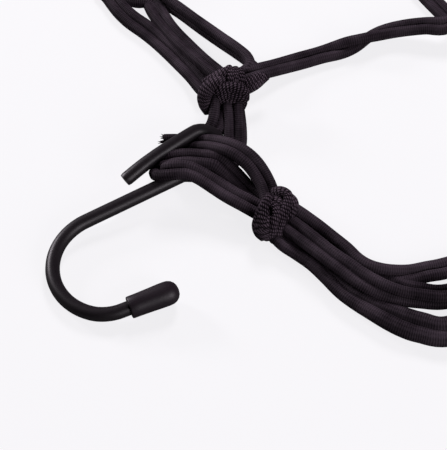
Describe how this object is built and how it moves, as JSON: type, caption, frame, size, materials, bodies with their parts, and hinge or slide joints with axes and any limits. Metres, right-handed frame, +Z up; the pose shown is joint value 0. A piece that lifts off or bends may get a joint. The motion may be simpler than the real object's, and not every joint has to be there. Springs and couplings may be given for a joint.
{
  "type": "cargo net",
  "caption": "Square elastic cargo net lying slack, with knotted doubled cords, woven inner cords and coated wire hooks with rubber tips caught in its edge.",
  "frame": {"origin": "on the surface that the net lies on, under the middle of its outline", "axes": "+Z up out of the surface; +X along the lower side of the net toward the corner with the right-hand hooks, +Y along its left side"},
  "size_m": [0.4738, 0.4858, 0.0133],
  "materials": {
    "elastic_cord": "black braided sleeve over elastic, with fine cross ribs",
    "coated_wire": "satin black plastic coating on steel wire",
    "rubber_tip": "dull black moulded rubber"
  },
  "bodies": {
    "root": {"hook_bight_01": "elastic_cord", "hook_bight_30": "elastic_cord", "hook_bight_41": "elastic_cord", "hook_bight_43": "elastic_cord", "hook_bight_14": "elastic_cord", "hook_bight_03": "elastic_cord", "corner_cord_01": "elastic_cord", "corner_cord_30": "elastic_cord", "corner_cord_43": "elastic_cord", "corner_cord_14": "elastic_cord", "bound_cord_41": "elastic_cord", "bound_cord_03": "elastic_cord", "edge_cord_10": "elastic_cord", "edge_cord_20": "elastic_cord", "edge_cord_42": "elastic_cord", "edge_cord_34": "elastic_cord", "edge_cord_24": "elastic_cord", "edge_cord_02": "elastic_cord", "inner_cord_row_1": "elastic_cord", "inner_cord_row_2": "elastic_cord", "inner_cord_row_3": "elastic_cord", "inner_cord_column_1": "elastic_cord", "inner_cord_column_2": "elastic_cord", "inner_cord_column_3": "elastic_cord", "hook_1_wire": "coated_wire", "hook_2_wire": "coated_wire", "hook_3_wire": "coated_wire", "hook_4_wire": "coated_wire", "hook_5_wire": "coated_wire", "hook_6_wire": "coated_wire", "hook_1_tip": "rubber_tip", "hook_2_tip": "rubber_tip", "hook_3_tip": "rubber_tip", "hook_4_tip": "rubber_tip", "hook_5_tip": "rubber_tip", "hook_6_tip": "rubber_tip"}
  },
  "joints": []
}
